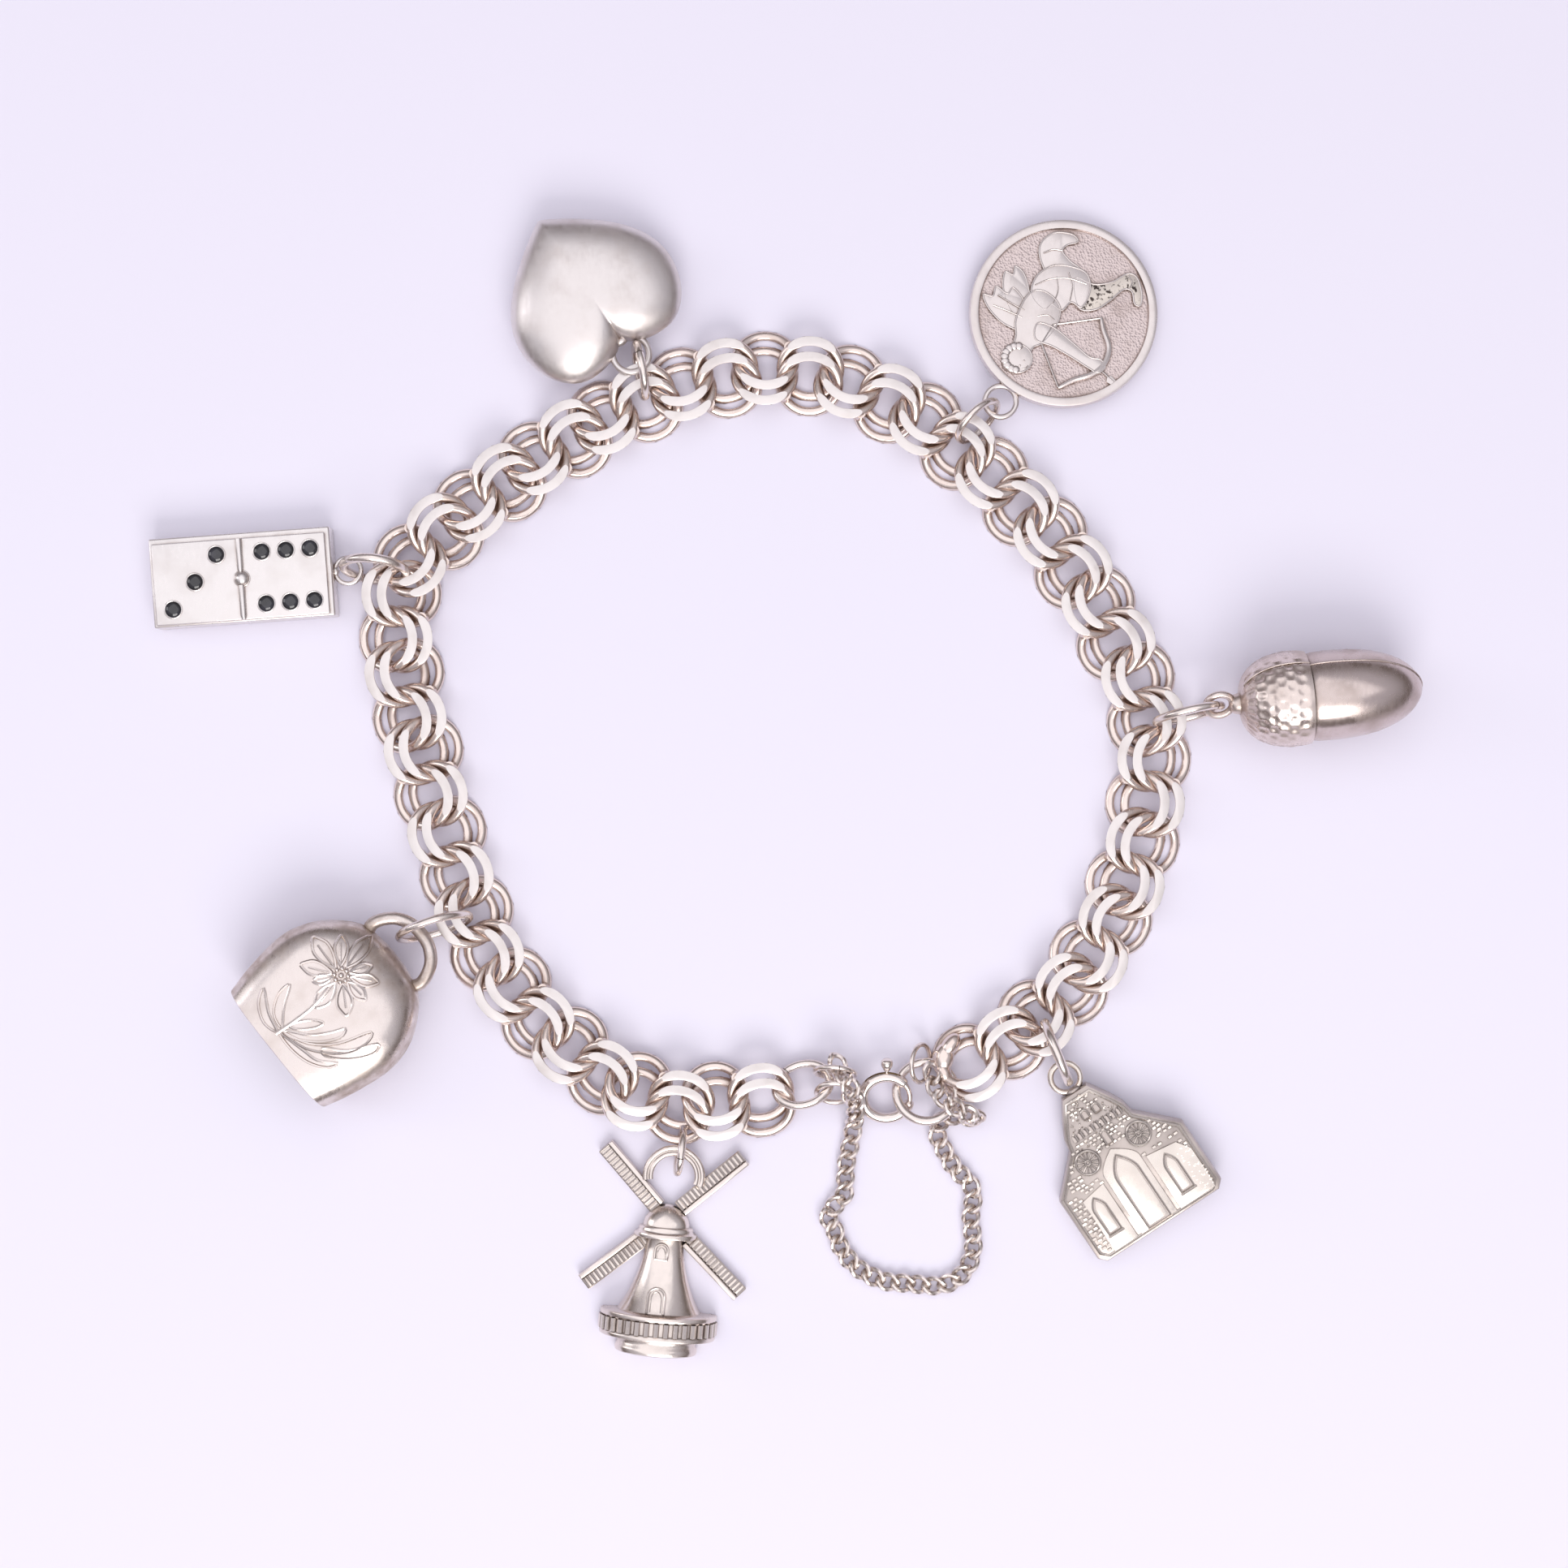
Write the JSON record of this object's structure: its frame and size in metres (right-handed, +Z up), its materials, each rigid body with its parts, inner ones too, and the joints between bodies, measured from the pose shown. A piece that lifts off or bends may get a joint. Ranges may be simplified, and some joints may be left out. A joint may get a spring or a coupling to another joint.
{
  "type": "charm bracelet",
  "caption": "Silver charm bracelet of double curb links, closed in a loop by a bolt ring, with a guard chain and charms hung on jump rings.",
  "frame": {"origin": "under the middle of the whole bracelet, on the surface it lies on", "axes": "+Z up from the table; +Y across the loop from the clasp to the heart; +X towards the acorn"},
  "size_m": [0.105, 0.0946, 0.0081],
  "materials": {
    "chain_silver": "worn polished silver with ground flats",
    "ring_silver": "worn polished silver wire",
    "clasp_silver": "worn polished silver",
    "charm_silver": "satin silver, darker in its hollows",
    "black_enamel": "glossy black enamel"
  },
  "bodies": {
    "bracelet": {"link_01": "chain_silver", "link_02": "chain_silver", "link_03": "chain_silver", "link_04": "chain_silver", "link_05": "chain_silver", "link_06": "chain_silver", "link_07": "chain_silver", "link_08": "chain_silver", "link_09": "chain_silver", "link_10": "chain_silver", "link_11": "chain_silver", "link_12": "chain_silver", "link_13": "chain_silver", "link_14": "chain_silver", "link_15": "chain_silver", "link_16": "chain_silver", "link_17": "chain_silver", "link_18": "chain_silver", "link_19": "chain_silver", "link_20": "chain_silver", "link_21": "chain_silver", "link_22": "chain_silver", "link_23": "chain_silver", "link_24": "chain_silver", "link_25": "chain_silver", "link_26": "chain_silver", "clasp_ring": "clasp_silver", "clasp_jump_ring": "clasp_silver", "end_link": "ring_silver", "end_ring_flat": "ring_silver", "end_ring_upright": "ring_silver", "guard_ring": "ring_silver", "guard_chain": "ring_silver", "ring_heart": "ring_silver", "ring_disc": "ring_silver", "ring_acorn": "ring_silver", "ring_church": "ring_silver", "ring_windmill": "ring_silver", "ring_bell": "ring_silver", "ring_domino": "ring_silver", "charm_heart": "charm_silver", "charm_disc": "charm_silver", "charm_acorn": "charm_silver", "charm_church": "charm_silver", "charm_windmill": "charm_silver", "charm_bell": "charm_silver", "charm_domino": "charm_silver", "pip_1": "black_enamel", "pip_2": "black_enamel", "pip_3": "black_enamel", "pip_4": "black_enamel", "pip_5": "black_enamel", "pip_6": "black_enamel", "pip_7": "black_enamel", "pip_8": "black_enamel", "pip_9": "black_enamel"},
    "clasp_gate": {"clasp_gate": "clasp_silver"}
  },
  "joints": [
    {"name": "clasp_gate_slide", "type": "hinge", "parent": "bracelet", "child": "clasp_gate", "pos_m": [0.00858, -0.02569, 0.00145], "axis": [0, -0.3907, 0.9205], "range_deg": [0, 40], "stiffness_Nm_per_rad": 0.0006}
  ]
}
